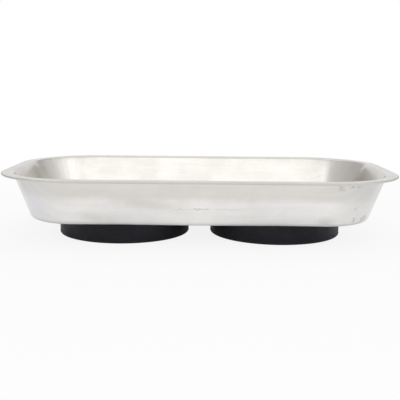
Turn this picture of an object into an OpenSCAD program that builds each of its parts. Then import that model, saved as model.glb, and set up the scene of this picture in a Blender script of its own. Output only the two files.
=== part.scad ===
// Magnetic parts tray: a pressed stainless tray that stands on two rubber-covered ring magnets.
// Millimetres, +Z up, +X along the tray. The origin is on the bench, under the middle of the tray.

/* [Tray] */
// Length of the rim over its outer edge
rim_length = 240; // [200:1:320]
// Width of the rim over its outer edge
rim_width = 140; // [126:1:200]
// Corner radius of the rim's outer edge, seen from above
rim_corner_radius = 47.5; // [36:0.5:62]
// Depth from the top of the rim to the underside of the floor
tray_depth = 28; // [20:0.5:38]
// Thickness of the stainless sheet
sheet_thickness = 0.5; // [0.4:0.1:1]
// Lean of the walls away from upright, in degrees
wall_draft_angle = 20.5; // [8:0.5:26]
// Radius under the rim where the flange turns down into the wall
rim_bend_radius = 0.8; // [0.5:0.1:4]
// Radius inside the tray where the wall turns into the floor
floor_bend_radius = 3.4; // [1:0.1:8]

/* [Rim edge] */
// Width of the safe edge that is folded back under the rim
hem_width = 4.2; // [2.5:0.1:7]
// Slit left inside the folded edge
hem_slit = 0.2; // [0.1:0.05:0.6]
// Plain flange between the folded edge and the bend into the wall
flange_plain_width = 2.2; // [0.5:0.1:4]

/* [Magnet feet] */
// Gap between the two feet
foot_gap = 14; // [4:0.5:40]
// Outer diameter of the ring magnets
magnet_diameter = 80; // [60:1:96]
// Bore of the ring magnets
magnet_bore = 32; // [24:1:44]
// Thickness of the ring magnets
magnet_thickness = 10; // [7:0.5:16]
// Thickness of the steel backing plates between the magnets and the tray
plate_thickness = 1.5; // [0.8:0.1:3]

/* [Rubber covers] */
// Wall of a cover, round its magnet
cover_wall = 1.4; // [1:0.1:3]
// Floor of a cover, under its magnet
cover_floor = 2; // [1:0.1:4]
// Reach of a cover's top lip over the edge of its magnet
cover_lip_reach = 4.75; // [2:0.25:8]
// Rounding of a cover's lower edge
cover_edge_radius = 1.2; // [0.4:0.1:2]
// Hole in a cover's floor through which a socket reaches the nut
service_hole_diameter = 20; // [14:0.5:28]

/* [Fasteners] */
// Thread diameter of the screws
screw_diameter = 5; // [4:0.5:6]
// Length of the screws under the head
screw_length = 10; // [8:0.5:13]
// Diameter of the screw heads
screw_head_diameter = 11.8; // [9:0.1:14]
// Height of the screw heads
screw_head_height = 3.1; // [2.4:0.1:4]
// Width of the nuts across their flats
nut_width = 8; // [7.5:0.5:11]
// Thickness of the nuts
nut_thickness = 4; // [3:0.1:5]
// Outer diameter of the lock washers
washer_diameter = 9.2; // [8:0.1:12]
// Thickness of the lock washers
washer_thickness = 1.2; // [0.8:0.1:2]

/* [Hidden] */

// Fits
cover_clearance = 0.1;
plate_clearance = 0.25;
hole_clearance = 0.25;
thread_clearance = 0.05;
overrun = 1;

// Small features of the magnets and fasteners
magnet_chamfer = 0.8;
screw_head_edge = 0.6;
screw_point_chamfer = 0.6;
recess_width = 1.1;
recess_span = 5.6;
recess_depth = 2;
recess_tip_radius = 1.1;
washer_split = 0.7;
washer_split_angle = 25;
nut_chamfer_angle = 30;
nut_sides = 6;

// Resolution of round faces and of the bends in the sheet
$fn = 96;
bend_step_count = 10;

// Heights, from the bench up
magnet_bottom = cover_floor;
magnet_top = magnet_bottom + magnet_thickness;
foot_height = magnet_top + plate_thickness;
floor_top = foot_height + sheet_thickness;
rim_top = foot_height + tray_depth;
washer_bottom = magnet_top - washer_thickness;
nut_bottom = washer_bottom - nut_thickness;

// Folded edge, flange and wall, measured outwards from the axis of a rim corner
hem_radius = sheet_thickness + hem_slit / 2;
hem_centre = [rim_corner_radius - hem_radius, rim_top - hem_radius];
hem_end = rim_corner_radius - hem_width;
hem_bottom = rim_top - 2 * hem_radius;
flange_flat = hem_width + flange_plain_width;
rim_bend_height = rim_top - sheet_thickness - rim_bend_radius;
floor_bend_height = floor_top + floor_bend_radius;
wall_run = (rim_bend_radius + floor_bend_radius + sheet_thickness) / cos(wall_draft_angle)
    + (rim_bend_height - floor_bend_height) * tan(wall_draft_angle);
floor_setback = flange_flat + wall_run;
rim_bend_centre = [rim_corner_radius - flange_flat, rim_bend_height];
floor_bend_centre = [rim_corner_radius - floor_setback, floor_bend_height];

// Rim corners, seen from above
corner_x = rim_length / 2 - rim_corner_radius;
corner_y = rim_width / 2 - rim_corner_radius;
corner_places = [
    [corner_x, corner_y], [-corner_x, corner_y], [-corner_x, -corner_y], [corner_x, -corner_y]
];

// Feet
magnet_radius = magnet_diameter / 2;
cover_inner_radius = magnet_radius + cover_clearance;
cover_radius = cover_inner_radius + cover_wall;
lip_radius = magnet_radius - cover_lip_reach;
plate_radius = lip_radius - plate_clearance;
service_hole_radius = service_hole_diameter / 2;
foot_x = foot_gap / 2 + cover_radius;

// Fasteners
screw_radius = screw_diameter / 2;
screw_hole_radius = screw_radius + hole_clearance;
screw_head_radius = screw_head_diameter / 2;
dome_height = screw_head_height - screw_head_edge;
dome_radius = (screw_head_radius ^ 2 + dome_height ^ 2) / (2 * dome_height);
nut_corner_radius = nut_width / 2 / cos(180 / nut_sides);
nut_chamfer = (nut_corner_radius - nut_width / 2) * tan(nut_chamfer_angle);

// Points along a round bend, from one angle to another
function bend_arc(centre, radius, from, to) = [
    for (step = [0:bend_step_count])
        let (angle = from + (to - from) * step / bend_step_count)
            centre + radius * [cos(angle), sin(angle)]
];

// Cross-section of the pressed sheet, from a corner's axis over floor, wall and flange to the hem
module pan_profile() {
    wall_down = 360 - wall_draft_angle;
    wall_up = 180 - wall_draft_angle;
    polygon(concat(
        [[0, floor_top]],
        bend_arc(floor_bend_centre, floor_bend_radius, 270, wall_down),
        bend_arc(rim_bend_centre, rim_bend_radius + sheet_thickness, wall_up, 90),
        bend_arc(hem_centre, hem_radius, 90, -90),
        [[hem_end, hem_bottom], [hem_end, hem_bottom + sheet_thickness]],
        bend_arc(hem_centre, hem_slit / 2, -90, 90),
        bend_arc(rim_bend_centre, rim_bend_radius, 90, wall_up),
        bend_arc(floor_bend_centre, floor_bend_radius + sheet_thickness, wall_down, 270),
        [[0, foot_height]]
    ));
}

// A rim corner, turned about its axis, with the straight side that leads to it
module pan_quarter(straight_length) {
    rotate_extrude(angle = 90) pan_profile();
    rotate([90, 0, 0]) linear_extrude(height = straight_length) pan_profile();
}

module tray_pan() color("#d8d5d0") difference() {
    union() {
        for (corner = [0:3])
            translate(corner_places[corner])
                rotate(90 * corner)
                    pan_quarter(2 * (corner % 2 == 0 ? corner_y : corner_x));
        translate([-corner_x, -corner_y, foot_height])
            cube([2 * corner_x, 2 * corner_y, sheet_thickness]);
    }
    for (side = [-1, 1])
        translate([side * foot_x, 0, foot_height - overrun])
            cylinder(r = screw_hole_radius, h = sheet_thickness + 2 * overrun);
}

// Moulded cup with a lip that grips over the magnet, and a hole under the nut
module foot_cover(side) color("#27262b") translate([side * foot_x, 0, 0]) rotate_extrude()
    polygon(concat(
        [[service_hole_radius, 0]],
        bend_arc([cover_radius - cover_edge_radius, cover_edge_radius], cover_edge_radius, -90, 0),
        [
            [cover_radius, foot_height], [lip_radius, foot_height],
            [lip_radius, magnet_top], [cover_inner_radius, magnet_top],
            [cover_inner_radius, cover_floor], [service_hole_radius, cover_floor]
        ]
    ));

module ring_magnet(side) color("#3b3a3c") translate([side * foot_x, 0, magnet_bottom]) {
    bore_radius = magnet_bore / 2;
    rotate_extrude() polygon([
        [bore_radius, magnet_chamfer], [bore_radius + magnet_chamfer, 0],
        [magnet_radius - magnet_chamfer, 0], [magnet_radius, magnet_chamfer],
        [magnet_radius, magnet_thickness - magnet_chamfer],
        [magnet_radius - magnet_chamfer, magnet_thickness],
        [bore_radius + magnet_chamfer, magnet_thickness],
        [bore_radius, magnet_thickness - magnet_chamfer]
    ]);
}

module backing_plate(side) color("#b3b2ad") translate([side * foot_x, 0, magnet_top])
    difference() {
        cylinder(r = plate_radius, h = plate_thickness);
        translate([0, 0, -overrun]) cylinder(r = screw_hole_radius, h = plate_thickness + 2 * overrun);
    }

// Cross recess that narrows with depth, as a driver's tip does
module driver_recess() intersection() {
    for (turn = [0, 90])
        rotate(turn)
            translate([-recess_span / 2, -recess_width / 2, -recess_depth])
                cube([recess_span, recess_width, recess_depth + overrun]);
    union() {
        translate([0, 0, -recess_depth])
            cylinder(r1 = recess_tip_radius, r2 = recess_span / 2, h = recess_depth);
        cylinder(r = recess_span / 2, h = overrun);
    }
}

// Low domed head on the tray floor and a plain shank at the thread's outer diameter
module screw(side) color("#c9c8c4") translate([side * foot_x, 0, floor_top]) difference() {
    union() {
        intersection() {
            cylinder(r = screw_head_radius, h = screw_head_height);
            translate([0, 0, screw_head_height - dome_radius]) sphere(r = dome_radius);
        }
        translate([0, 0, screw_point_chamfer - screw_length])
            cylinder(r = screw_radius, h = screw_length - screw_point_chamfer);
        translate([0, 0, -screw_length])
            cylinder(
                r1 = screw_radius - screw_point_chamfer,
                r2 = screw_radius,
                h = screw_point_chamfer
            );
    }
    translate([0, 0, screw_head_height]) driver_recess();
}

// Split ring, cut across at a slant
module lock_washer(side) color("#a9a8a4") translate([side * foot_x, 0, washer_bottom])
    difference() {
        cylinder(d = washer_diameter, h = washer_thickness);
        translate([0, 0, -overrun]) cylinder(r = screw_hole_radius, h = washer_thickness + 2 * overrun);
        translate([0, 0, washer_thickness / 2])
            rotate([washer_split_angle, 0, 0])
                translate([0, -washer_split / 2, -washer_thickness - overrun])
                    cube([washer_diameter, washer_split, 2 * (washer_thickness + overrun)]);
    }

// Hexagon with its corners turned off at both faces
module hex_nut(side) color("#bcbbb6") translate([side * foot_x, 0, nut_bottom])
    difference() {
        intersection() {
            cylinder(r = nut_corner_radius, h = nut_thickness, $fn = nut_sides);
            rotate_extrude() polygon([
                [0, 0], [nut_width / 2, 0], [nut_corner_radius, nut_chamfer],
                [nut_corner_radius, nut_thickness - nut_chamfer],
                [nut_width / 2, nut_thickness], [0, nut_thickness]
            ]);
        }
        translate([0, 0, -overrun])
            cylinder(r = screw_radius + thread_clearance, h = nut_thickness + 2 * overrun);
    }

tray_pan();
for (side = [-1, 1]) {
    hand = side < 0 ? "left" : "right";
    foot_cover(side);
    ring_magnet(side);
    backing_plate(side);
    screw(side);
    lock_washer(side);
    hex_nut(side);
}
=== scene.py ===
"""Looks of a magnetic parts tray: a pressed stainless pan on two magnet feet with rubber covers.

Every new piece is a surface worked out with numpy in millimetres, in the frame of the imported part,
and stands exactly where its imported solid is. Materials are node trees with patterns at real sizes.
"""

import logging
import math
from abc import ABC, abstractmethod
from collections.abc import Iterable
from dataclasses import dataclass, field
from enum import Enum
from typing import Any

import bmesh
import bpy
import numpy as np
from bpy.types import Material, Node, NodeSocket, NodeTree, Object
from mathutils import Matrix, Vector


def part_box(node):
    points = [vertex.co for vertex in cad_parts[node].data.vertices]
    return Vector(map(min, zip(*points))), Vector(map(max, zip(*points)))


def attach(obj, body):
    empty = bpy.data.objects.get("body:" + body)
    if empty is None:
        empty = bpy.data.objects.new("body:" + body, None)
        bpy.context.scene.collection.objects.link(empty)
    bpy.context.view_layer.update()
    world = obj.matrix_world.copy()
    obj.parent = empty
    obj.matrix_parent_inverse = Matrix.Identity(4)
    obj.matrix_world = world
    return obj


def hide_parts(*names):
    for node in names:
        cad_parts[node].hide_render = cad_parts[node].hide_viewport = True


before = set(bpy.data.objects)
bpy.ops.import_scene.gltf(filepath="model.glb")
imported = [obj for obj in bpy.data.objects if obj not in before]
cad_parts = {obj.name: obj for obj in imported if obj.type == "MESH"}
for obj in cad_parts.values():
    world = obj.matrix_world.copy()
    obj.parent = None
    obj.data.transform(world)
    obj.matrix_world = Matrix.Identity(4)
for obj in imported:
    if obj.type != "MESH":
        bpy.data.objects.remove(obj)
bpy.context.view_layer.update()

log = logging.getLogger("parts_tray")

MM = 0.001
# Points nearer to each other than this are one point.
JOIN_WITHIN = 0.001 * MM
BODY = "root"
BLANK_MAP = "blank"
# Most values of a noise texture lie between the first two, round the third.
NOISE_LOW, NOISE_HIGH, NOISE_MIDDLE = 0.35, 0.65, 0.5
# The pan's inner face is marked by heights far below this, its outer face by true heights.
INNER_FACE_BELOW = -1.0
# Sockets of a Mix node that mixes colours.
MIX_FIRST, MIX_SECOND, MIX_RESULT = 6, 7, 2
WHITE = "#ffffff"
IMAGE_SIZE = 400
SENSOR_WIDTH = 36.0


class Side(Enum):
    """The two halves of the tray, named as seen from the front."""

    LEFT = "left"
    RIGHT = "right"


class Shading(Enum):
    """How sharply two faces may meet before the edge between them shows, in degrees."""

    FORMED = 38.0
    CUT = 24.0


class Trace(Enum):
    """What has marked the sheet, or is painted shade on it, with the colour that it leaves."""

    SCUFF = "#8e8b86"
    GREASE = "#c6beb6"
    # Painted shade: a cool, darker patch at the left end of the outer wall.
    HAZE = "#d7d7e4"


class Relief(Enum):
    """Fine relief of a surface, with the texture that draws it."""

    GRIT = "TexNoise"
    GRAINS = "TexVoronoi"


def linear(colour: str) -> tuple[float, float, float, float]:
    """Turns an sRGB hex colour into linear light.

    Args:
        colour: Six hex digits after a hash sign.

    Returns:
        Red, green, blue and full opacity, from 0 to 1.
    """
    srgb = np.array([int(colour[k:k + 2], 16) for k in (1, 3, 5)]) / 255
    light = np.where(srgb <= 0.04045, srgb / 12.92, ((srgb + 0.055) / 1.055) ** 2.4)
    return (float(light[0]), float(light[1]), float(light[2]), 1.0)


def add_node(tree: NodeTree, kind: str, inputs: dict | None = None, **settings: Any) -> Node:
    """Adds a shader node, sets its properties, and fills or links its inputs.

    Args:
        tree: The node tree that takes the node.
        kind: The node's type name, without the part that all shader nodes share.
        inputs: By the input's name or number, a value, a socket, or a node whose first output is meant.
        settings: Properties of the node itself.

    Returns:
        The new node.
    """
    node = tree.nodes.new(f"ShaderNode{kind}")
    for name, value in settings.items():
        setattr(node, name, value)
    for key, value in (inputs or {}).items():
        source = value.outputs[0] if isinstance(value, Node) else value
        if isinstance(source, NodeSocket):
            tree.links.new(source, node.inputs[key])
        else:
            node.inputs[key].default_value = source
    return node


def node_box(node: str) -> tuple[np.ndarray, np.ndarray]:
    """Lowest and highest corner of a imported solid, in millimetres.

    Args:
        node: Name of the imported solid.

    Returns:
        Two corners of three numbers each.
    """
    low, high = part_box(node)
    return np.array(low) / MM, np.array(high) / MM


def arc(centre: tuple[float, float], radius: float, start: float, end: float, steps: int) -> np.ndarray:
    """Points of a round bend: the centre plus the radius times cosine and sine of evenly spaced angles.

    Args:
        centre: Middle of the bend.
        radius: Radius of the bend.
        start: First angle in degrees.
        end: Last angle in degrees.
        steps: Number of stretches between the two.

    Returns:
        One row of two coordinates per point.
    """
    angle = np.radians(np.linspace(start, end, steps + 1))
    return np.array(centre) + radius * np.stack([np.cos(angle), np.sin(angle)], axis=1)


def straight(start: np.ndarray, end: np.ndarray, steps: int) -> np.ndarray:
    """Points inside a straight run, without its two ends: an even mix of start and end.

    Args:
        start: First end.
        end: Last end.
        steps: Number of stretches between the ends.

    Returns:
        One row of two coordinates per inner point.
    """
    share = np.linspace(0, 1, steps + 1)[1:-1, None]
    return np.asarray(start) * (1 - share) + np.asarray(end) * share


def along(points: np.ndarray) -> np.ndarray:
    """Length run from the first point to each point of a line, by adding up its stretches.

    Args:
        points: One row of coordinates per point.

    Returns:
        One length per point, starting at 0.
    """
    return np.concatenate([[0], np.cumsum(np.linalg.norm(np.diff(points, axis=0), axis=1))])


def grid_faces(rows: int, columns: int, close_rows: bool, close_columns: bool, first: int = 0) -> np.ndarray:
    """Four-cornered faces of a grid of points that is numbered row by row.

    Args:
        rows: Number of rows of points.
        columns: Number of points in a row.
        close_rows: Whether the last row joins the first.
        close_columns: Whether the last point of a row joins the first.
        first: Number of the grid's first point.

    Returns:
        One row of four point numbers per face.
    """
    number = first + np.arange(rows * columns).reshape(rows, columns)
    if close_rows:
        number = np.concatenate([number, number[:1]])
    if close_columns:
        number = np.concatenate([number, number[:, :1]], axis=1)
    corners = (number[:-1, :-1], number[1:, :-1], number[1:, 1:], number[:-1, 1:])
    return np.stack(corners, axis=-1).reshape(-1, 4)


@dataclass
class Draft:
    """Points, faces and point values of a piece, gathered grid by grid before its mesh is made."""

    points: list[np.ndarray] = field(default_factory=list)
    faces: list[np.ndarray] = field(default_factory=list)
    maps: list[np.ndarray] = field(default_factory=list)
    values: list[dict[str, np.ndarray]] = field(default_factory=list)
    count: int = 0

    def add_grid(
        self,
        grid: np.ndarray,
        close_rows: bool = False,
        close_columns: bool = False,
        flat: np.ndarray | None = None,
        **values: np.ndarray | float,
    ) -> None:
        """Adds a grid of points with its faces.

        Args:
            grid: Rows by columns by three coordinates, in millimetres.
            close_rows: Whether the last row joins the first.
            close_columns: Whether each row is a closed ring.
            flat: Place of every point on the flat sheet, in millimetres.
            values: Named values, one number per point or one for all of them.
        """
        rows, columns = grid.shape[:2]
        self.points.append(grid.reshape(-1, 3))
        self.faces.append(grid_faces(rows, columns, close_rows, close_columns, self.count))
        self.maps.append((grid[..., :2] if flat is None else flat).reshape(-1, 2))
        spread = {name: np.broadcast_to(v, (rows, columns)).reshape(-1) for name, v in values.items()}
        self.values.append(spread)
        self.count += rows * columns

    def piece(self, name: str, shading: Shading) -> Object:
        """Makes the mesh object: joins doubled points, turns the faces outwards and marks sharp edges.

        Args:
            name: Name of the piece.
            shading: How sharp an edge must be to show.

        Returns:
            The object, linked to the scene, at the origin.
        """
        points = np.concatenate(self.points) * MM
        faces = np.concatenate(self.faces)
        mesh = bpy.data.meshes.new(name)
        mesh.from_pydata(points, [], faces.tolist())
        layer = mesh.uv_layers.new(name=BLANK_MAP)
        layer.uv.foreach_set("vector", np.concatenate(self.maps)[faces.ravel()].astype(np.float32).ravel())
        for value_name in self.values[0]:
            kept = mesh.attributes.new(value_name, "FLOAT", "POINT")
            numbers = np.concatenate([values[value_name] for values in self.values])
            kept.data.foreach_set("value", numbers.astype(np.float32))
        work = bmesh.new()
        work.from_mesh(mesh)
        bmesh.ops.remove_doubles(work, verts=work.verts, dist=JOIN_WITHIN)
        bmesh.ops.recalc_face_normals(work, faces=work.faces)
        work.to_mesh(mesh)
        work.free()
        mesh.shade_smooth()
        mesh.set_sharp_from_angle(angle=math.radians(shading.value))
        piece = bpy.data.objects.new(name, mesh)
        bpy.context.scene.collection.objects.link(piece)
        return piece


def turned(profile: np.ndarray, centre: np.ndarray, steps: int) -> np.ndarray:
    """Profile carried round an upright axis: radius times cosine and sine of the turn, beside its height.

    Args:
        profile: Radius and height, one row per point, or one per point and turn.
        centre: Place of the axis, seen from above.
        steps: Number of turns of the profile.

    Returns:
        Rows by turns by three coordinates.
    """
    turn = np.linspace(0, 2 * np.pi, steps, endpoint=False)
    radius, height = profile[..., 0], profile[..., 1]
    if radius.ndim == 1:
        radius, height = radius[:, None], height[:, None]
    x = centre[0] + radius * np.cos(turn)
    y = centre[1] + radius * np.sin(turn)
    return np.stack([x, y, np.broadcast_to(height, x.shape)], axis=-1)


class Finish(ABC):
    """A surface finish that can make its material."""

    title: str

    def material(self) -> Material:
        """Makes the material: the finish's shader, led to the output.

        Returns:
            The finished material.
        """
        made = bpy.data.materials.new(self.title)
        made.use_nodes = True
        tree = made.node_tree
        tree.nodes.clear()
        add_node(tree, "OutputMaterial", {"Surface": self.shader(tree)})
        return made

    @abstractmethod
    def shader(self, tree: NodeTree) -> Node:
        """Adds the finish's patterns and the shader that they feed.

        Args:
            tree: The material's node tree.

        Returns:
            The shader's node.
        """

    @staticmethod
    def coated(tree: NodeTree, colour: Any, coats: Iterable[tuple[Any, str]]) -> NodeSocket:
        """Lays coats of colour over one another, each mixed in by its own share.

        Args:
            tree: The node tree.
            colour: Colour under the coats, or the socket that gives it.
            coats: The share of each coat, from 0 to 1, and its hex colour.

        Returns:
            The colour on top.
        """
        for share, coat in coats:
            inputs = {0: share, MIX_FIRST: colour, MIX_SECOND: linear(coat)}
            colour = add_node(tree, "Mix", inputs, data_type="RGBA").outputs[MIX_RESULT]
        return colour


@dataclass(frozen=True)
class Mark:
    """A mark on the sheet: an oval in millimetres on the flat sheet, its strength and its tilt in degrees."""

    trace: Trace
    x: float
    y: float
    half_length: float
    half_width: float
    strength: float
    tilt: float = 0.0


@dataclass(frozen=True)
class SheetPattern:
    """Noise that is drawn out over the flat sheet.

    Its features have a length along the tray and a width across it, and it can be slid, all in millimetres.
    Detail is the number of its finer layers, and detail share is how much each of them counts.
    """

    length: float
    width: float
    detail: float
    shift: tuple[float, float] = (0.0, 0.0)
    detail_share: float = 0.5

    def add(self, tree: NodeTree, flat: Node) -> Node:
        """Adds the noise.

        Args:
            tree: The material's node tree.
            flat: Place on the flat sheet.

        Returns:
            The noise's node.
        """
        place = add_node(tree, "Mapping", {
            "Vector": flat, "Location": (self.shift[0] / self.length, self.shift[1] / self.width, 0.0),
            "Scale": (1 / self.length, 1 / self.width, 1.0),
        })
        inputs = {"Vector": place, "Scale": 1.0, "Detail": self.detail, "Roughness": self.detail_share}
        return add_node(tree, "TexNoise", inputs, noise_dimensions="2D")


@dataclass(frozen=True)
class SatinStainless(Finish):
    """Drawn stainless sheet. Rolling leaves a fine grain that softens reflections to a satin glow.

    Half way up the outer wall a wavering line shows: below it the sheet is painted brighter, a painted
    reflection of the bright floor near the tray. The upper ends of the outer wall are painted darker, as
    painted shade. Handling has left short dark scuffs and a warm film of grease here and there, and a cool,
    darker patch at one end is painted shade.
    Sizes are in millimetres.
    """

    title: str = "Stainless steel, drawn, satin"
    upper_colour: str = "#e0ddd9"
    # Painted reflection: the outer wall below the line is painted this brighter colour, for the bright floor
    # it mirrors.
    lower_reflection_colour: str = "#f3f2f0"
    # Painted shade: the upper ends of the outer wall are painted towards this darker colour.
    end_shade_colour: str = "#cfcfce"
    worn_colour: str = "#b9b4ac"
    # Painted shade on the fold's outer edge, for the shaded floor that it mirrors.
    fold_shade_colour: str = "#d2d1cc"
    # Height of the line below which the outer wall is painted brighter, as painted reflection.
    reflection_line_height: float = 15.9
    reflection_blur: float = 3.0
    reflection_slope: float = -0.005
    reflection_waver: float = 3.0
    end_start: float = 70.0
    end_full: float = 110.0
    end_height: float = 26.0
    end_shade_depth: float = 0.8
    end_low_share: float = 0.75
    # The real grain is about 0.05 mm wide; it is drawn ten times as coarse so that it can show.
    grain: SheetPattern = SheetPattern(16.0, 0.5, 3.0)
    grain_depth: float = 0.0003
    streak: SheetPattern = SheetPattern(70.0, 4.5, 2.0)
    streak_depth: float = 0.09
    cloud: SheetPattern = SheetPattern(26.0, 26.0, 4.0, (-20.0, 30.0), 0.6)
    cloud_depth: float = 0.13
    speck: SheetPattern = SheetPattern(1.3, 1.3, 1.0)
    speck_depth: float = 0.2
    speck_range: tuple[float, float] = (0.76, 0.84)
    ragged: SheetPattern = SheetPattern(2.2, 2.2, 2.0)
    ragged_reach: tuple[float, float] = (4.5, 2.0)
    scratch: SheetPattern = SheetPattern(0.9, 0.9, 1.0)
    roughness: float = 0.19
    roughness_spread: float = 0.03
    cloud_roughness: float = 0.35
    edge_roughness: float = 0.2
    marks: tuple[Mark, ...] = (
        Mark(Trace.SCUFF, 81.8, -77.0, 3.4, 2.3, 0.7, -20.0),
        Mark(Trace.SCUFF, 84.0, -75.4, 2.0, 1.8, 0.55),
        Mark(Trace.SCUFF, 91.6, -75.0, 4.2, 1.3, 0.55, 15.0),
        Mark(Trace.SCUFF, 97.0, -72.6, 3.4, 1.4, 0.55, 30.0),
        Mark(Trace.SCUFF, 93.1, -58.6, 2.6, 1.1, 0.6),
        Mark(Trace.SCUFF, 96.3, -45.8, 3.0, 3.2, 0.8),
        Mark(Trace.SCUFF, 98.8, -44.4, 2.4, 2.8, 0.8),
        Mark(Trace.SCUFF, 90.0, -51.0, 2.4, 3.0, 0.6),
        Mark(Trace.SCUFF, -11.5, -63.2, 5.0, 0.8, 0.45),
        Mark(Trace.SCUFF, 1.0, -63.4, 7.5, 1.0, 0.8),
        Mark(Trace.SCUFF, 17.0, -63.3, 11.0, 0.8, 0.45),
        Mark(Trace.GREASE, -60.0, -57.5, 16.0, 4.5, 0.26, 10.0),
        Mark(Trace.GREASE, -30.0, -66.6, 32.0, 6.0, 0.4, 8.0),
        Mark(Trace.GREASE, 72.0, -55.5, 8.0, 4.5, 0.42),
        Mark(Trace.GREASE, -112.0, -57.0, 10.0, 7.0, 0.5),
        # Painted shade at the left end, a cool, darker patch rather than a real mark.
        Mark(Trace.HAZE, -100.0, -52.0, 17.0, 15.0, 0.5),
    )

    def traced(self, tree: NodeTree, flat: Node, trace: Trace) -> Any:
        """Adds the marks of one kind: the greatest fade, from the middle of a mark to the edge of its oval.

        Args:
            tree: The material's node tree.
            flat: Place on the flat sheet.
            trace: The kind of mark.

        Returns:
            How marked the sheet is, from 0 to 1.
        """
        most: Any = 0.0
        for mark in (mark for mark in self.marks if mark.trace is trace):
            oval = add_node(tree, "Mapping", {
                "Vector": flat, "Location": (mark.x, mark.y, 0.0),
                "Rotation": (0.0, 0.0, math.radians(mark.tilt)),
                "Scale": (mark.half_length, mark.half_width, 1.0),
            }, vector_type="TEXTURE")
            away = add_node(tree, "VectorMath", {0: oval}, operation="LENGTH").outputs["Value"]
            fade = add_node(tree, "MapRange", {
                "Value": away, "From Min": 1.0, "From Max": 0.0, "To Max": mark.strength,
            }, interpolation_type="SMOOTHSTEP")
            most = add_node(tree, "Math", {0: most, 1: fade}, operation="MAXIMUM")
        return most

    def marked(self, tree: NodeTree, flat: Node, outside: Node, colour: NodeSocket) -> NodeSocket:
        """Adds handling marks and a patch of painted shade, each in its colour, with ragged edges; scuffs are
        fine scratches.

        Args:
            tree: The material's node tree.
            flat: Place on the flat sheet.
            outside: 1 on the outer face, 0 inside.
            colour: Colour of the clean sheet.

        Returns:
            Colour of the marked sheet.
        """
        noise = self.ragged.add(tree, flat).outputs["Color"]
        shift = add_node(tree, "VectorMath", {0: noise, 1: (NOISE_MIDDLE, NOISE_MIDDLE, 0.0)},
                         operation="SUBTRACT")
        ragged = add_node(tree, "VectorMath", {0: shift, 1: (*self.ragged_reach, 0.0), 2: flat},
                          operation="MULTIPLY_ADD")
        scratch = self.scratch.add(tree, flat)
        broken = add_node(tree, "MapRange", {"Value": scratch, "From Min": NOISE_LOW, "From Max": NOISE_HIGH})
        coats = []
        for trace in Trace:
            kind = self.traced(tree, ragged, trace)
            share = add_node(tree, "Math", {0: kind, 1: outside}, operation="MULTIPLY")
            if trace is Trace.SCUFF:
                share = add_node(tree, "Math", {0: share, 1: broken}, operation="MULTIPLY")
            coats.append((share, trace.value))
        return self.coated(tree, colour, coats)

    def banded(
        self, tree: NodeTree, flat: Node, cloud: Node, outer: NodeSocket, outside: Node
    ) -> NodeSocket:
        """Adds two tones to the outer wall, a painted reflection that is brighter below a wavering line, and
        painted shade on the upper ends.

        Args:
            tree: The material's node tree.
            flat: Place on the flat sheet.
            cloud: The clouds that make the line waver.
            outer: Height above the tray's underside on the outer face.
            outside: 1 on the outer face, 0 inside.

        Returns:
            Colour of the sheet.
        """
        place = add_node(tree, "SeparateXYZ", {0: flat}).outputs["X"]
        level = add_node(tree, "Math", {0: place, 1: -self.reflection_slope, 2: outer}, operation="MULTIPLY_ADD")
        level = add_node(tree, "Math", {0: cloud, 1: self.reflection_waver, 2: level}, operation="MULTIPLY_ADD")
        # Painted reflection: below the wavering line the outer wall is painted brighter.
        line = self.reflection_line_height + self.reflection_waver / 2
        below = add_node(tree, "MapRange", {
            "Value": level, "From Min": line + self.reflection_blur, "From Max": line - self.reflection_blur,
        }, interpolation_type="SMOOTHSTEP")
        # Painted shade: the ends of the outer wall are painted darker, more towards the top.
        aside = add_node(tree, "Math", {0: place}, operation="ABSOLUTE")
        end = add_node(tree, "MapRange", {
            "Value": aside, "From Min": self.end_start, "From Max": self.end_full, "To Max": self.end_shade_depth,
        }, interpolation_type="SMOOTHSTEP")
        high = add_node(tree, "MapRange", {
            "Value": outer, "From Max": self.end_height, "To Min": self.end_low_share,
        })
        dull = add_node(tree, "Math", {0: end, 1: high}, operation="MULTIPLY")
        painted_reflection, painted_end_shade = (
            add_node(tree, "Math", {0: share, 1: outside}, operation="MULTIPLY") for share in (below, dull)
        )
        coats = ((painted_reflection, self.lower_reflection_colour), (painted_end_shade, self.end_shade_colour))
        return self.coated(tree, linear(self.upper_colour), coats)

    def shader(self, tree: NodeTree) -> Node:
        """Adds grain, streaks, clouds, specks, marks, painted reflection and painted shade to a metal's
        shader.

        Args:
            tree: The material's node tree.

        Returns:
            The shader's node.
        """
        flat = add_node(tree, "UVMap", uv_map=BLANK_MAP)
        grain, streak, cloud, speck = (
            pattern.add(tree, flat) for pattern in (self.grain, self.streak, self.cloud, self.speck)
        )
        usual = (NOISE_LOW, NOISE_HIGH)
        hazy, drawn, pitted = (
            add_node(tree, "MapRange", {"Value": noise, "From Min": low, "From Max": high, "To Max": depth})
            for noise, (low, high), depth in (
                (cloud, usual, self.cloud_depth),
                (streak, usual, self.streak_depth),
                (speck, self.speck_range, self.speck_depth),
            )
        )
        outer = add_node(tree, "Attribute", attribute_name="outer_height").outputs["Fac"]
        outside = add_node(tree, "Math", {0: outer, 1: INNER_FACE_BELOW}, operation="GREATER_THAN")
        fold = add_node(tree, "Attribute", attribute_name="fold_edge").outputs["Fac"]
        colour = self.banded(tree, flat, cloud, outer, outside)
        colour = self.coated(tree, colour, [(share, self.worn_colour) for share in (hazy, drawn, pitted)])
        colour = self.marked(tree, flat, outside, colour)
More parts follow.
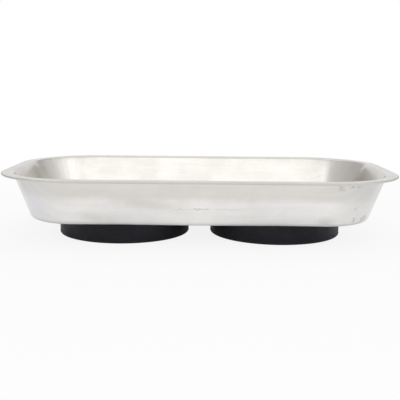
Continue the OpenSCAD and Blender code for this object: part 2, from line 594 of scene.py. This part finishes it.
        # Painted shade: the fold's outer edge is painted darker; the raised roughness there below is real.
        colour = self.coated(tree, colour, [(fold, self.fold_shade_colour)])
        spread = add_node(tree, "MapRange", {
            "Value": grain, "From Min": NOISE_LOW, "From Max": NOISE_HIGH,
            "To Min": self.roughness - self.roughness_spread,
            "To Max": self.roughness + self.roughness_spread,
        })
        for share, added in ((hazy, self.cloud_roughness), (fold, self.edge_roughness)):
            spread = add_node(tree, "Math", {0: share, 1: added, 2: spread}, operation="MULTIPLY_ADD")
        bump = add_node(tree, "Bump", {"Height": grain, "Strength": 1.0, "Distance": self.grain_depth * MM})
        return add_node(tree, "BsdfPrincipled", {
            "Base Color": colour, "Roughness": spread, "Normal": bump, "Metallic": 1.0,
        })


@dataclass(frozen=True)
class CloudedFinish(Finish):
    """A finish with a fine relief and with soft clouds, which change its colour and its gloss.

    Sizes are in millimetres. Each range holds two values of the clouds' noise, and roughness is what the
    surface has at the two ends of the gloss range.
    """

    title: str
    base_colour: str
    cloud_colour: str
    cloud_size: float
    cloud_detail: float
    cloud_range: tuple[float, float]
    gloss_range: tuple[float, float]
    roughness: tuple[float, float]
    relief: Relief
    relief_size: float
    relief_detail: float
    relief_depth: float
    relief_strength: float = 1.0
    cloud_share: float = 1.0
    wear_share: float = 0.0
    metallic: float = 0.0
    reflection: float = 0.5

    def shader(self, tree: NodeTree) -> Node:
        """Adds the clouds, the relief and, where edges wear, the wear, and the shader that they feed.

        Args:
            tree: The material's node tree.

        Returns:
            The shader's node.
        """
        place = add_node(tree, "TexCoord").outputs["Object"]
        relief, cloud = (
            add_node(tree, kind.value, {"Vector": place, "Scale": 1 / (size * MM), "Detail": detail})
            for kind, size, detail in (
                (self.relief, self.relief_size, self.relief_detail),
                (Relief.GRIT, self.cloud_size, self.cloud_detail),
            )
        )
        tint = add_node(tree, "MapRange", {
            "Value": cloud, "From Min": self.cloud_range[0], "From Max": self.cloud_range[1],
            "To Max": self.cloud_share,
        })
        if self.wear_share:
            worn = add_node(tree, "Attribute", attribute_name="edge_wear").outputs["Fac"]
            tint = add_node(tree, "Math", {0: worn, 1: self.wear_share, 2: tint}, operation="MULTIPLY_ADD",
                            use_clamp=True)
        gloss = add_node(tree, "MapRange", {
            "Value": cloud, "From Min": self.gloss_range[0], "From Max": self.gloss_range[1],
            "To Min": self.roughness[0], "To Max": self.roughness[1],
        })
        bump = add_node(tree, "Bump", {
            "Height": relief, "Strength": self.relief_strength, "Distance": self.relief_depth * MM,
        })
        return add_node(tree, "BsdfPrincipled", {
            "Base Color": self.coated(tree, linear(self.base_colour), [(tint, self.cloud_colour)]),
            "Roughness": gloss, "Normal": bump, "Metallic": self.metallic,
            "Specular IOR Level": self.reflection,
        })


@dataclass(frozen=True)
class MouldedRubber(CloudedFinish):
    """Black rubber from a spark-eroded mould: a fine dull texture, greyer where it has been handled."""

    title: str = "Nitrile rubber, moulded"
    base_colour: str = "#0d0b17"
    cloud_colour: str = "#1b1a27"
    cloud_size: float = 9.0
    cloud_detail: float = 4.0
    cloud_range: tuple[float, float] = (0.45, 0.75)
    gloss_range: tuple[float, float] = (0.3, 0.7)
    roughness: tuple[float, float] = (0.51, 0.39)
    relief: Relief = Relief.GRIT
    relief_size: float = 0.5
    relief_detail: float = 3.0
    relief_depth: float = 0.012
    cloud_share: float = 0.45
    wear_share: float = 0.6
    reflection: float = 0.31


@dataclass(frozen=True)
class SinteredFerrite(CloudedFinish):
    """Pressed and fired ferrite: charcoal grains with a few open pores, dull all over."""

    title: str = "Ferrite, sintered"
    base_colour: str = "#3d3c3f"
    cloud_colour: str = "#232225"
    cloud_size: float = 5.6
    cloud_detail: float = 5.0
    cloud_range: tuple[float, float] = (0.35, 0.7)
    gloss_range: tuple[float, float] = (0.0, 1.0)
    roughness: tuple[float, float] = (0.58, 0.78)
    relief: Relief = Relief.GRAINS
    relief_size: float = 0.7
    relief_detail: float = 0.0
    relief_depth: float = 0.02
    relief_strength: float = 0.6


@dataclass(frozen=True)
class ZincPlate(CloudedFinish):
    """Bright zinc plating on steel: bluish silver with straw-coloured clouds from the passivation bath."""

    title: str = "Steel, zinc plated"
    base_colour: str = "#c3c8cc"
    cloud_colour: str = "#cdc8b6"
    cloud_size: float = 4.0
    cloud_detail: float = 3.0
    cloud_range: tuple[float, float] = (0.42, 0.66)
    gloss_range: tuple[float, float] = (0.3, 0.7)
    roughness: tuple[float, float] = (0.26, 0.4)
    relief: Relief = Relief.GRIT
    relief_size: float = 0.35
    relief_detail: float = 2.0
    relief_depth: float = 0.0015
    metallic: float = 1.0


@dataclass(frozen=True)
class ZincFlake(ZincPlate):
    """Steel blanked from plate and dipped in zinc flake: greyer and duller than plating, in wider clouds."""

    title: str = "Steel, blanked, zinc flake"
    base_colour: str = "#b4b4b0"
    cloud_colour: str = "#a8a69d"
    cloud_size: float = 11.0
    roughness: tuple[float, float] = (0.36, 0.5)


def seat(piece: Object, node: str, finish: Material) -> None:
    """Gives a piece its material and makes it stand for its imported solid.

    Args:
        piece: The finished piece.
        node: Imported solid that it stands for.
        finish: Its material.
    """
    piece.data.materials.append(finish)
    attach(piece, BODY)
    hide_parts(node)
    log.info("%s: %d faces, stands for %s", piece.name, len(piece.data.polygons), node)


@dataclass
class TrayPan:
    """The pressed pan: one sheet with a flat floor, leaning walls, a flat flange and a folded edge.

    Sizes are in millimetres. Length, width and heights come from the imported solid.
    """

    node: str = "tray_pan"
    corner_radius: float = 47.5
    sheet: float = 0.5
    wall_draft: float = 20.5
    rim_bend: float = 0.8
    floor_bend: float = 3.4
    hem_width: float = 4.2
    hem_slit: float = 0.2
    flange_plain: float = 2.2
    hole_radius: float = 2.75
    corner_steps: int = 44
    long_side_steps: int = 44
    short_side_steps: int = 16
    middle_steps: int = 24
    floor_rings: int = 12
    ring_growth: float = 1.7
    bend_steps: int = 14
    fold_steps: int = 18
    slit_steps: int = 6
    inner_runs: tuple[int, ...] = (18, 5, 4)
    outer_runs: tuple[int, ...] = (4, 8, 18)
    fold_fade_share: float = 0.25
    wave_height: float = 0.045
    # Each wave's length, its slant in degrees, its start in radians and its share of the height.
    waves: tuple[tuple[float, ...], ...] = (
        (57.0, 12.0, 0.4, 0.4), (83.0, 71.0, 2.1, 0.3), (41.0, 128.0, 3.9, 0.2), (29.0, 160.0, 5.2, 0.1),
    )

    def __post_init__(self) -> None:
        """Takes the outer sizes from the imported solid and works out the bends."""
        low, high = node_box(self.node)
        self.half = (high - low)[:2] / 2
        self.bottom, self.top = low[2], high[2]
        self.floor_top = self.bottom + self.sheet
        self.hole_x = float(np.mean(node_box("right_screw"), axis=0)[0])
        draft = math.radians(self.wall_draft)
        flange = self.hem_width + self.flange_plain
        rim_height = self.top - self.sheet - self.rim_bend
        floor_height = self.floor_top + self.floor_bend
        run = (self.rim_bend + self.floor_bend + self.sheet) / math.cos(draft)
        run += (rim_height - floor_height) * math.tan(draft)
        self.rim_centre = (self.corner_radius - flange, rim_height)
        self.floor_centre = (self.corner_radius - flange - run, floor_height)

    def profile(self) -> tuple[np.ndarray, np.ndarray, np.ndarray, np.ndarray]:
        """Section of the sheet from the floor's edge over the rim and back: bends as arcs, runs straight.

        Returns:
            Distance from the corner's axis and height per point, length along the sheet, height above
            the tray's underside on the outer face, which is negative on the inner face, and 1 on the fold.
        """
        up, down = 180 - self.wall_draft, 360 - self.wall_draft
        fold = self.sheet + self.hem_slit / 2
        hem = (self.corner_radius - fold, self.top - fold)
        hem_end = self.corner_radius - self.hem_width
        cut_low = np.array([[hem_end, self.top - 2 * fold]])
        cut_high = cut_low + [0, self.sheet]
        inner = [
            arc(self.floor_centre, self.floor_bend, 270, down, self.bend_steps),
            arc(self.rim_centre, self.rim_bend + self.sheet, up, 90, self.bend_steps),
            arc(hem, fold, 90, -90, self.fold_steps),
            cut_low,
        ]
        outer = [
            cut_high,
            arc(hem, self.hem_slit / 2, -90, 90, self.slit_steps),
            arc(self.rim_centre, self.rim_bend, 90, up, self.bend_steps),
            arc(self.floor_centre, self.floor_bend + self.sheet, down, 270, self.bend_steps),
        ]
        inner_line = self.joined(inner, self.inner_runs)
        outer_line = self.joined(outer, self.outer_runs)
        length = np.concatenate([along(inner_line), along(outer_line[::-1])[::-1]])
        height = np.concatenate([np.full(len(inner_line), -self.top), outer_line[:, 1] - self.bottom])
        section = np.concatenate([inner_line, outer_line])
        # 1 on the fold's outer edge, where the sheet is painted darker as painted shade.
        fold_edge = np.clip((section[:, 0] - hem[0]) / (fold * self.fold_fade_share), 0, 1)
        return section, length, height, fold_edge

    @staticmethod
    def joined(bends: list[np.ndarray], runs: tuple[int, ...]) -> np.ndarray:
        """Bends joined by straight runs of evenly spaced points.

        Args:
            bends: Points of each bend, in order.
            runs: Number of stretches in each run between two bends.

        Returns:
            One row of two coordinates per point.
        """
        parts = [bends[0]]
        for before, after, steps in zip(bends, bends[1:], runs):
            parts += [straight(before[-1], after[0], steps), after]
        return np.concatenate(parts)

    def path(self) -> tuple[np.ndarray, np.ndarray]:
        """Closed path round the tray: each corner turns about its axis, and the axis slides along each side.

        Returns:
            Place of the axis and outward direction, one row per step, seen from above.
        """
        axis = self.half - self.corner_radius
        sign = np.array([[1, 1], [-1, 1], [-1, -1], [1, -1]])
        places, ways = [], []
        for corner in range(4):
            angle = np.radians(np.linspace(0, 90, self.corner_steps + 1) + 90 * corner)
            places.append(np.broadcast_to(axis * sign[corner], (len(angle), 2)))
            ways.append(np.stack([np.cos(angle), np.sin(angle)], axis=1))
            steps = self.long_side_steps if corner % 2 == 0 else self.short_side_steps
            run = straight(axis * sign[corner], axis * sign[(corner + 1) % 4], steps)
            places.append(run)
            ways.append(np.broadcast_to(ways[-1][-1], run.shape))
        return np.concatenate(places), np.concatenate(ways)

    def wave(self, flat: np.ndarray) -> np.ndarray:
        """Slight unevenness of pressed sheet: a sum of four slanting sine waves over the flat sheet.

        Args:
            flat: Place on the flat sheet, in millimetres.

        Returns:
            Height of the unevenness per point, in millimetres.
        """
        lengths, slants, starts, shares = np.array(self.waves).T
        way = np.stack([np.cos(np.radians(slants)), np.sin(np.radians(slants))])
        return self.wave_height * (shares * np.sin(2 * np.pi * (flat @ way) / lengths + starts)).sum(-1)

    def walls(self, draft: Draft) -> np.ndarray:
        """Adds the wall, flange and folded edge: the section carried along the path.

        Args:
            draft: The piece so far.

        Returns:
            The floor's edge, seen from above, one row per step of the path.
        """
        section, length, height, fold_edge = self.profile()
        place, way = self.path()
        edge = place + way * self.floor_centre[0]
        flat = edge[:, None] + way[:, None] * length[:, None]
        rise = (section[:, 1] - self.floor_top) / (self.rim_centre[1] - self.floor_top)
        window = np.sin(np.pi * np.clip(rise, 0, 1)) ** 2
        push = self.wave(flat) * window
        lean = math.radians(self.wall_draft)
        out = section[:, 0] + push * math.cos(lean)
        xy = place[:, None] + way[:, None] * out[..., None]
        z = section[:, 1] - push * math.sin(lean)
        grid = np.concatenate([xy, z[..., None]], axis=-1)
        draft.add_grid(grid, close_rows=True, flat=flat, outer_height=height, fold_edge=fold_edge)
        return edge

    def floor(self, draft: Draft, edge: np.ndarray) -> None:
        """Adds both faces of the floor and the holes: rings that grow from each hole to its half's edge.

        Args:
            draft: The piece so far.
            edge: The floor's edge, seen from above.
        """
        back = int(np.argmin(np.hypot(edge[:, 0], edge[:, 1] - edge[:, 1].max())))
        front = int(np.argmin(np.hypot(edge[:, 0], edge[:, 1] - edge[:, 1].min())))
        middle = straight(edge[front], edge[back], self.middle_steps)
        halves = {
            -self.hole_x: np.concatenate([edge[back:front + 1], middle]),
            self.hole_x: np.concatenate([edge[front:], edge[:back + 1], middle[::-1]]),
        }
        share = np.linspace(0, 1, self.floor_rings) ** self.ring_growth
        for hole_x, rim in halves.items():
            way = rim - [hole_x, 0]
            way = way / np.linalg.norm(way, axis=1)[:, None]
            hole = np.array([hole_x, 0]) + self.hole_radius * way
            rings = hole + (rim - hole) * share[:, None, None]
            for height, value in ((self.floor_top, -self.top), (self.bottom, 0.0)):
                level = np.full(rings.shape[:2] + (1,), height)
                grid = np.concatenate([rings, level], axis=-1)
                draft.add_grid(grid, close_columns=True, outer_height=value, fold_edge=0.0)
            heights = np.array([self.floor_top, self.bottom])
            wall = np.concatenate([np.broadcast_to(hole, (2,) + hole.shape),
                                   np.broadcast_to(heights[:, None, None], (2, len(hole), 1))], axis=-1)
            draft.add_grid(wall, close_columns=True, outer_height=-self.top, fold_edge=0.0)

    def build(self, finish: Material) -> None:
        """Builds and dresses the pan.

        Args:
            finish: The sheet's material.
        """
        draft = Draft()
        self.floor(draft, self.walls(draft))
        piece = draft.piece("pressed_pan", Shading.FORMED)
        seat(piece, self.node, finish)


@dataclass
class MagnetFoot:
    """A foot: rubber cover, ring magnet, backing plate and the screw, washer and nut that hold it.

    Sizes are in millimetres. Place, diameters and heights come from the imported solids.
    """

    side: Side
    cover_wall: float = 1.4
    lip_reach: float = 4.75
    magnet_gap: float = 0.1
    hole_radius: float = 10.0
    lower_edge: float = 1.2
    small_edge: float = 0.45
    flash_height: float = 0.09
    flash_width: float = 0.35
    flash_share: float = 0.62
    thread_pitch: float = 0.8
    thread_depth: float = 0.46
    head_edge: float = 0.6
    recess_span: float = 5.6
    recess_width: float = 1.1
    recess_depth: float = 2.0
    point_chamfer: float = 0.6
    nut_width: float = 8.0
    nut_chamfer_angle: float = 30.0
    thread_radius: float = 2.5
    thread_clearance: float = 0.05
    thread_start: float = 0.05
    thread_flat_share: float = 0.125
    head_chamfer: float = 0.1
    recess_flank: float = 0.1
    recess_steepness: float = 1.5
    hole_wear: float = 0.6
    foot_wear: float = 1.0
    top_wear: float = 0.5
    small_edge_steps: int = 6
    lower_edge_steps: int = 10
    wall_steps: int = 60
    floor_steps: int = 24
    head_rings: int = 64
    thread_rows: int = 190
    chamfer_steps: int = 8
    cover_steps: int = 180
    screw_steps: int = 160
    nut_steps: int = 144

    def name(self, part: str) -> str:
        """Name of one of this foot's parts, with its side."""
        return f"{self.side.value}_{part}"

    def __post_init__(self) -> None:
        """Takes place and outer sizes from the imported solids."""
        low, high = node_box(self.name("foot_cover"))
        self.centre = ((low + high) / 2)[:2]
        self.radius = (high[0] - low[0]) / 2
        self.height = high[2]

    def cover_profile(self) -> tuple[np.ndarray, np.ndarray]:
        """Section of the cover, closed: floor, outer wall with its mould line, lip and inside, edges rounded.

        Returns:
            Radius and height per point, and how worn each point is, from 0 to 1.
        """
        magnet_low, magnet_high = (box[2] for box in node_box(self.name("ring_magnet")))
        inner = self.radius - self.cover_wall
        lip = inner - self.magnet_gap - self.lip_reach
        small, large = self.small_edge, self.lower_edge
        hole_edge = arc((self.hole_radius + small, small), small, 180, 270, self.small_edge_steps)
        foot_edge = arc((self.radius - large, large), large, 270, 360, self.lower_edge_steps)
        top_edge = arc((self.radius - small, self.height - small), small, 0, 90, self.small_edge_steps)
        wall = straight(foot_edge[-1], top_edge[0], self.wall_steps)
        line = large + (self.height - large) * self.flash_share
        wall[:, 0] += self.flash_height * np.exp(-(((wall[:, 1] - line) / self.flash_width) ** 2))
        wall[:, 0] -= self.flash_height
        inside = np.array([
            [lip, self.height], [lip, magnet_high], [inner, magnet_high], [inner, magnet_low],
            [self.hole_radius, magnet_low],
        ])
        under = straight(hole_edge[-1], foot_edge[0], self.floor_steps)
        stretches = (
            (hole_edge, self.hole_wear), (under, 0.0), (foot_edge, self.foot_wear), (wall, 0.0),
            (top_edge, self.top_wear), (inside, 0.0),
        )
        wear = [np.full(len(stretch), worn) for stretch, worn in stretches]
        return np.concatenate([stretch for stretch, _ in stretches]), np.concatenate(wear)

    def cover(self, finish: Material) -> None:
        """Builds the cover: its closed section carried round the foot's axis.

        Args:
            finish: The rubber's material.
        """
        section, wear = self.cover_profile()
        draft = Draft()
        grid = turned(section, self.centre, self.cover_steps)
        draft.add_grid(grid, close_rows=True, close_columns=True, edge_wear=wear[:, None])
        piece = draft.piece(self.name("rubber_cover"), Shading.FORMED)
        seat(piece, self.name("foot_cover"), finish)

    def screw_profile(self) -> np.ndarray:
        """Screw as radius and height for every turn: a dome with a cross sunk in it, and a cut thread.

        The cross is as deep as the lesser of two tapers: towards the end of an arm and towards its sides.
        The thread's radius falls by its depth as a triangle wave of height plus turn.

        Returns:
            Rows by turns by two numbers.
        """
        low, high = node_box(self.name("screw"))
        head_radius, top = (high[0] - low[0]) / 2, high[2]
        seat_height = node_box("tray_pan")[0][2] + TrayPan.sheet
        shank = self.thread_radius
        turn = np.linspace(0, 2 * np.pi, self.screw_steps, endpoint=False)
        radius = np.linspace(0, head_radius, self.head_rings)[:, None]
        rise = top - seat_height - self.head_edge
        ball = (head_radius**2 + rise**2) / (2 * rise)
        dome = top - ball + np.sqrt(ball**2 - radius**2)
        x, y = radius * np.cos(turn), radius * np.sin(turn)
        along_arm, across = np.maximum(np.abs(x), np.abs(y)), np.minimum(np.abs(x), np.abs(y))
        half_width = self.recess_width / 2
        ends = (self.recess_span / 2 - along_arm) / (self.recess_span / 2 - half_width) * self.recess_depth
        sides = (half_width - across) / self.recess_flank * self.recess_depth
        sunk = np.clip(np.minimum(ends * self.recess_steepness, sides), 0, self.recess_depth)
        head = np.stack([np.broadcast_to(radius, sunk.shape), dome - sunk], axis=-1)
        chamfer = self.head_chamfer
        edge = np.array([
            [head_radius, seat_height + chamfer], [head_radius - chamfer, seat_height], [shank, seat_height],
        ])
        height = np.linspace(seat_height - self.thread_start, low[2], self.thread_rows)[:, None]
        phase = (height / self.thread_pitch - turn / (2 * np.pi)) % 1
        flat = self.thread_flat_share
        groove = np.clip((1 + 2 * flat) * np.abs(2 * phase - 1) - flat, 0, 1)
        cone = shank - self.point_chamfer + (height - low[2])
        thread = np.minimum(shank - self.thread_depth * groove, cone)
        shaft = np.stack([thread, np.broadcast_to(height, thread.shape)], axis=-1)
        end = np.array([[0.0, low[2]]])
        rows = [head, edge, shaft, end]
        rows = [np.broadcast_to(r[:, None], (len(r), len(turn), 2)) if r.ndim == 2 else r for r in rows]
        return np.concatenate(rows)

    def screw(self, finish: Material) -> None:
        """Builds the screw: its rows of radius and height carried round its axis.

        Args:
            finish: The plated steel's material.
        """
        draft = Draft()
        draft.add_grid(turned(self.screw_profile(), self.centre, self.screw_steps), close_columns=True)
        piece = draft.piece(self.name("pan_head_screw"), Shading.CUT)
        seat(piece, self.name("screw"), finish)

    def nut_profile(self) -> np.ndarray:
        """Nut as radius and height for every turn: the lesser of a hexagon and a cone at each face.

        Returns:
            Rows by turns by two numbers.
        """
        low, high = node_box(self.name("hex_nut"))
        turn = np.linspace(0, 2 * np.pi, self.nut_steps, endpoint=False)
        sixth = np.pi / 3
        flat = self.nut_width / 2 / np.cos((turn + sixth / 2) % sixth - sixth / 2)
        corner = self.nut_width / 2 / math.cos(sixth / 2)
        slope = math.tan(math.radians(self.nut_chamfer_angle))
        drop = (corner - self.nut_width / 2) * slope
        ramp = np.linspace(0, drop, self.chamfer_steps)
        height = np.concatenate([low[2] + ramp, high[2] - ramp[::-1]])[:, None]
        cone = self.nut_width / 2 + np.minimum(height - low[2], high[2] - height) / slope
        body = np.stack([np.minimum(flat, cone), np.broadcast_to(height, (len(height), len(turn)))], axis=-1)
        bore = self.thread_radius + self.thread_clearance
        mouth, back = (np.broadcast_to([bore, z], (1, len(turn), 2)) for z in (low[2], high[2]))
        return np.concatenate([mouth, body, back])

    def nut(self, finish: Material) -> None:
        """Builds the nut: its rows of radius and height carried round its axis.

        Args:
            finish: The plated steel's material.
        """
        draft = Draft()
        grid = turned(self.nut_profile(), self.centre, self.nut_steps)
        draft.add_grid(grid, close_rows=True, close_columns=True)
        piece = draft.piece(self.name("plated_nut"), Shading.CUT)
        seat(piece, self.name("hex_nut"), finish)

    def dress(self, part: str, finish: Material) -> None:
        """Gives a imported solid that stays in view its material.

        Args:
            part: Name of the part, without its side.
            finish: Its material.
        """
        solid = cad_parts[self.name(part)]
        solid.data.materials.clear()
        solid.data.materials.append(finish)
        log.info("%s: packed solid, dressed as %s", solid.name, finish.name)


@dataclass(frozen=True)
class StudioPaper(Finish):
    """Matt white paper, seen from above only.

    To the eye, and in mirrors where it is lit from behind, it is mostly lit by itself, so it stays white.
    Under and near the feet less of it is, so shadows show there. Reaches are in metres from a foot's middle.
    """

    title: str = "Paper, matt white"
    colour: str = "#f2f2f4"
    near_white: float = 0.86
    mirror_white: float = 0.15
    near_reach: float = 0.042
    mid_reach: float = 0.098
    far_reach: float = 0.5

    def shader(self, tree: NodeTree) -> Node:
        """Adds the matt paper, the glow that the eye and mirrors see in it, and its clear underside.

        Args:
            tree: The material's node tree.

        Returns:
            The shader's node.
        """
        path = add_node(tree, "LightPath").outputs
        mirror = add_node(tree, "Math", {0: path["Is Glossy Ray"], 1: path["Is Transmission Ray"]},
                          operation="MAXIMUM")
        foot = Vector((*MagnetFoot(Side.RIGHT).centre, 0.0)) * MM
        place = add_node(tree, "TexCoord").outputs["Object"]
        folded = add_node(tree, "VectorMath", {0: place}, operation="ABSOLUTE")
        reach = add_node(tree, "VectorMath", {0: folded, 1: foot}, operation="DISTANCE").outputs["Value"]
        white, shade = (
            add_node(tree, "MapRange", {"Value": reach, "From Min": near, "From Max": far, "To Min": least},
                     interpolation_type="SMOOTHSTEP")
            for near, far, least in (
                (self.mid_reach, self.far_reach, self.near_white),
                (self.near_reach, self.mid_reach, self.mirror_white),
            )
        )
        backlit = add_node(tree, "Attribute", attribute_name="backlit").outputs["Fac"]
        share = shade
        for other, operation in (
            (backlit, "MULTIPLY"), (mirror, "MULTIPLY"), (path["Is Camera Ray"], "MAXIMUM"),
            (white, "MULTIPLY"),
        ):
            share = add_node(tree, "Math", {0: share, 1: other}, operation=operation)
        matt = add_node(tree, "BsdfDiffuse", {"Color": linear(self.colour)})
        glow = add_node(tree, "Emission", {"Color": linear(WHITE), "Strength": 1.0})
        upper = add_node(tree, "MixShader", {0: share, 1: matt, 2: glow})
        under = add_node(tree, "NewGeometry").outputs["Backfacing"]
        below = add_node(tree, "Math", {0: under, 1: path["Is Camera Ray"]}, operation="MULTIPLY")
        return add_node(tree, "MixShader", {0: below, 1: upper, 2: add_node(tree, "BsdfTransparent")})


@dataclass(frozen=True)
class SoftBox:
    """A soft box. Directions are in degrees, right of the viewer and above the floor, and sizes in metres."""

    title: str
    aside: float
    rise: float
    distance: float
    width: float
    height: float
    level: float

    def hang(self) -> None:
        """Adds the lamp. Its power is level times pi times area, so level 1 looks white in a mirror."""
        lamp = bpy.data.lights.new(self.title, "AREA")
        lamp.shape = "RECTANGLE"
        lamp.size, lamp.size_y = self.width, self.height
        lamp.energy = self.level * math.pi * self.width * self.height
        aside, rise = math.radians(self.aside), math.radians(self.rise)
        way = Vector((math.sin(aside) * math.cos(rise), -math.cos(aside) * math.cos(rise), math.sin(rise)))
        holder = bpy.data.objects.new(self.title, lamp)
        holder.location = way * self.distance
        holder.rotation_euler = (-way).to_track_quat("-Z", "Y").to_euler()
        holder.visible_camera = False
        bpy.context.scene.collection.objects.link(holder)


@dataclass
class Studio:
    """White sweep, soft lights and the camera. Distances are in metres, directions in degrees."""

    sweep_flat: float = 2.5
    side_rise: float = 0.9
    back_rise: float = 1.6
    back_start: float = 0.82
    back_full: float = 0.95
    sweep_turns: int = 192
    sweep_rings: int = 24
    sweep_bend_steps: int = 16
    floor_gap: float = 0.05
    back_glow: float = 0.75
    room_colour: str = "#cac9c7"
    bank_distance: float = 1.4
    bank_height: float = 0.6
    right_start: float = 45.0
    left_start: float = 51.0
    bank_step: float = 13.0
    bank_rise: float = 32.0
    bank_fall: float = 2.8
    right_levels: tuple[float, ...] = (0.4, 0.75, 0.62, 0.46, 0.29, 0.18, 0.12)
    left_levels: tuple[float, ...] = (0.3, 0.16, 0.12, 0.09, 0.06)
    camera_place: tuple[float, float, float] = (0.809, -442.525, 93.903)
    focal_pixels: float = 691.313
    pitch: float = 9.474
    yaw: float = -0.082
    roll: float = 0.532
    boxes: tuple[SoftBox, ...] = (
        SoftBox("Front soft box", -2.0, 34.0, 1.0, 2.6, 0.44, 0.85),
        SoftBox("Overhead soft box", 180.0, 82.0, 1.3, 1.7, 1.5, 0.55),
    )

    def banks(self) -> list[SoftBox]:
        """Strip lights side by side, on from the ends of the front box, lower and dimmer towards the back.

        Returns:
            The strips of both sides.
        """
        width = 2 * self.bank_distance * math.tan(math.radians(self.bank_step / 2))
        return [
            SoftBox(f"{side.value} strip {k}", sign * (start + k * self.bank_step),
                    self.bank_rise - k * self.bank_fall, self.bank_distance, width, self.bank_height, level)
            for side, sign, start, levels in (
                (Side.RIGHT, 1, self.right_start, self.right_levels),
                (Side.LEFT, -1, self.left_start, self.left_levels),
            )
            for k, level in enumerate(levels)
        ]

    def sweep(self) -> None:
        """Adds the floor: a flat run and a quarter arc turned about the tray, with the arc tallest behind it.

        The floor lies a hair below the feet, so that faces never fight.
        """
        turn = np.linspace(0, 2 * np.pi, self.sweep_turns, endpoint=False)
        behind = np.clip((np.sin(turn) - self.back_start) / (self.back_full - self.back_start), 0, 1)
        rise = self.side_rise + (self.back_rise - self.side_rise) * behind
        quarter = arc((0, 1), 1, 270, 360, self.sweep_bend_steps)
        bend = np.array([self.sweep_flat, 0.0]) + rise[:, None] * quarter[:, None]
        radius = np.linspace(0, self.sweep_flat, self.sweep_rings)[:-1, None, None]
        run = np.broadcast_to(radius * np.array([1.0, 0.0]), (len(radius), len(turn), 2))
        grid = turned(np.concatenate([run, bend]) / MM, np.zeros(2), len(turn))
        grid[..., 2] -= self.floor_gap
        back = np.broadcast_to(self.back_glow * behind, bend.shape[:2])
        backlit = np.concatenate([np.ones(run.shape[:2]), back])
        draft = Draft()
        draft.add_grid(grid, close_columns=True, backlit=backlit)
        floor = draft.piece("white_sweep", Shading.FORMED)
        work = bmesh.new()
        work.from_mesh(floor.data)
        bmesh.ops.reverse_faces(work, faces=[face for face in work.faces if face.normal.z < 0])
        work.to_mesh(floor.data)
        work.free()
        floor.data.materials.append(StudioPaper().material())

    def room(self) -> None:
        """Lights the scene with the pale grey room round it, which is white to the eye from below."""
        world = bpy.data.worlds.new("Studio room")
        world.use_nodes = True
        tree = world.node_tree
        tree.nodes.clear()
        seen = add_node(tree, "LightPath").outputs["Is Camera Ray"]
        colour = Finish.coated(tree, linear(self.room_colour), [(seen, WHITE)])
        ground = add_node(tree, "Background", {"Color": colour, "Strength": 1.0})
        add_node(tree, "OutputWorld", {"Surface": ground})
        bpy.context.scene.world = world

    def lamps(self) -> None:
        """Hangs every soft box and strip in its direction, facing the tray."""
        for box in (*self.boxes, *self.banks()):
            box.hang()

    def camera(self) -> None:
        """Sets the camera at the photograph's viewing place, turned by yaw, pitch and roll."""
        pitch, yaw, roll = (math.radians(a) for a in (self.pitch, self.yaw, self.roll))
        ahead = Vector((math.sin(yaw) * math.cos(pitch), math.cos(yaw) * math.cos(pitch), -math.sin(pitch)))
        level = Vector((math.cos(yaw), -math.sin(yaw), 0.0))
        over = level.cross(ahead)
        right = math.cos(roll) * level + math.sin(roll) * over
        up = math.cos(roll) * over - math.sin(roll) * level
        lens = bpy.data.cameras.new("Camera")
        lens.sensor_width = SENSOR_WIDTH
        lens.lens = self.focal_pixels / IMAGE_SIZE * SENSOR_WIDTH
        lens.clip_start = MM
        holder = bpy.data.objects.new("Camera", lens)
        turn = Matrix((right, up, -ahead)).transposed().to_4x4()
        holder.matrix_world = Matrix.Translation(Vector(self.camera_place) * MM) @ turn
        bpy.context.scene.collection.objects.link(holder)
        bpy.context.scene.camera = holder

    def build(self) -> None:
        """Builds the whole studio."""
        bpy.context.scene.view_settings.view_transform = "Standard"
        self.sweep()
        self.room()
        self.lamps()
        self.camera()
        log.info("studio: sweep, room, %d lamps and camera", len(self.boxes) + len(self.banks()))


def main() -> None:
    """Builds the pieces in order."""
    logging.basicConfig(level=logging.INFO, format="%(message)s")
    steel, rubber = SatinStainless().material(), MouldedRubber().material()
    zinc, ferrite = ZincPlate().material(), SinteredFerrite().material()
    plate = ZincFlake().material()
    TrayPan().build(steel)
    for side in Side:
        foot = MagnetFoot(side)
        foot.cover(rubber)
        foot.screw(zinc)
        foot.nut(zinc)
        foot.dress("lock_washer", zinc)
        foot.dress("backing_plate", plate)
        foot.dress("ring_magnet", ferrite)
    Studio().build()


if __name__ == "__main__":
    main()
